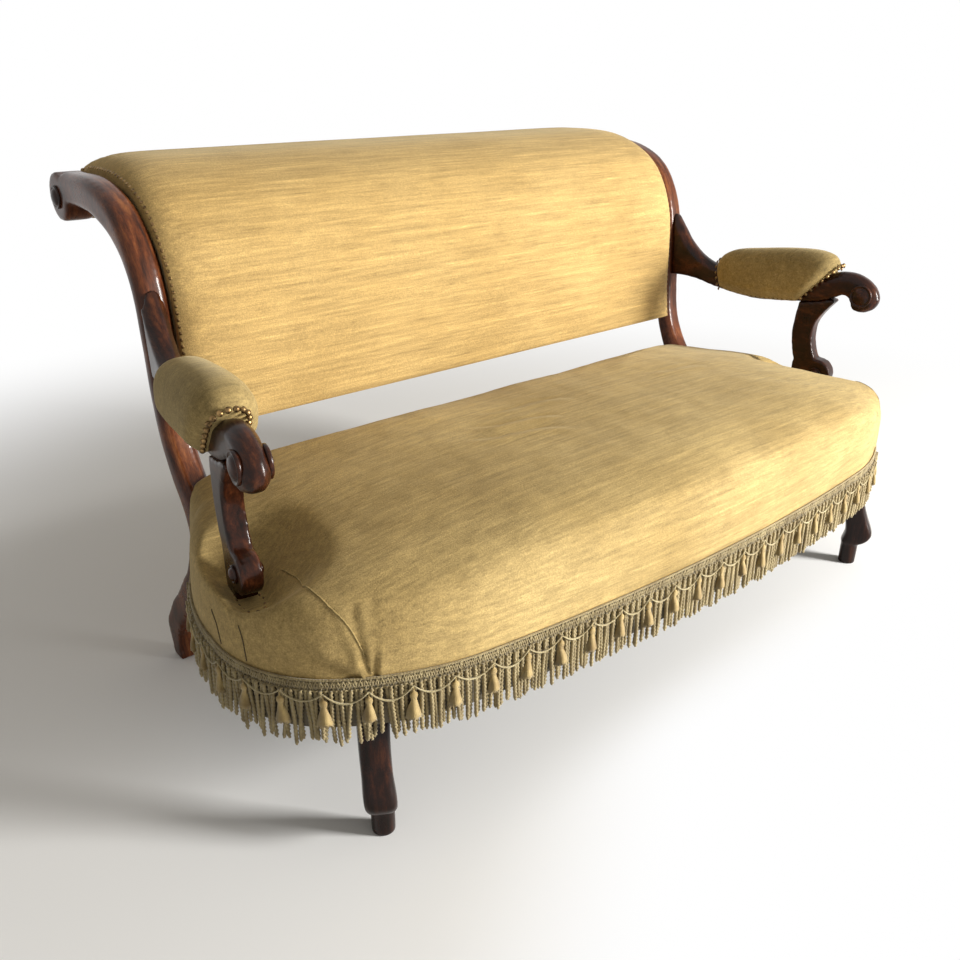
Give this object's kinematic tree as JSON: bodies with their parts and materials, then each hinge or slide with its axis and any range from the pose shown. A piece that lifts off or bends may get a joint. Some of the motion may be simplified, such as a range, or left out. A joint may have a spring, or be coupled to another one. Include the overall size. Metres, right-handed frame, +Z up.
{
  "type": "cabriole sofa",
  "caption": "Show-wood sofa with a rolled, swept back, open scrolled arms with padded rests, a domed bow-front seat and a deep tasselled fringe.",
  "frame": {"origin": "on the floor under the middle of the sofa's overall width and depth", "axes": "+Z up, the sofa faces -Y, +X is along its length, to the right as seen from the front when looking along +Y"},
  "size_m": [1.6114, 1.063, 0.903],
  "materials": {
    "polished_mahogany": "french polished, worn at the edges",
    "frame_beech": "plain sawn, unpolished",
    "gold_velvet": "short cut velvet with a slub",
    "gold_trimming": "twisted cotton and rayon cord",
    "jute_webbing": "woven jute",
    "black_lining": "plain weave",
    "spring_steel": "coppered wire"
  },
  "bodies": {
    "root": {"back_post_left": "polished_mahogany", "back_post_right": "polished_mahogany", "back_scroll_bosses": "polished_mahogany", "arm_left": "polished_mahogany", "arm_right": "polished_mahogany", "arm_scroll_bosses": "polished_mahogany", "arm_support_left": "polished_mahogany", "arm_support_right": "polished_mahogany", "support_scroll_bosses": "polished_mahogany", "front_leg_left": "polished_mahogany", "front_leg_right": "polished_mahogany", "arm_pad_left": "gold_velvet", "arm_pad_right": "gold_velvet", "seat_cushion": "gold_velvet", "back_pad": "gold_velvet", "back_cover": "gold_velvet", "front_seat_rail": "frame_beech", "side_seat_rail_left": "frame_beech", "side_seat_rail_right": "frame_beech", "back_seat_rail": "frame_beech", "corner_blocks": "frame_beech", "back_roll_rail": "frame_beech", "back_bend_rail": "frame_beech", "back_bottom_rail": "frame_beech", "seat_webbing": "jute_webbing", "back_webbing": "jute_webbing", "bottom_cloth": "black_lining", "seat_springs": "spring_steel", "braid_heading": "gold_trimming", "fringe_skirt": "gold_trimming", "tassels": "gold_trimming"}
  },
  "joints": []
}
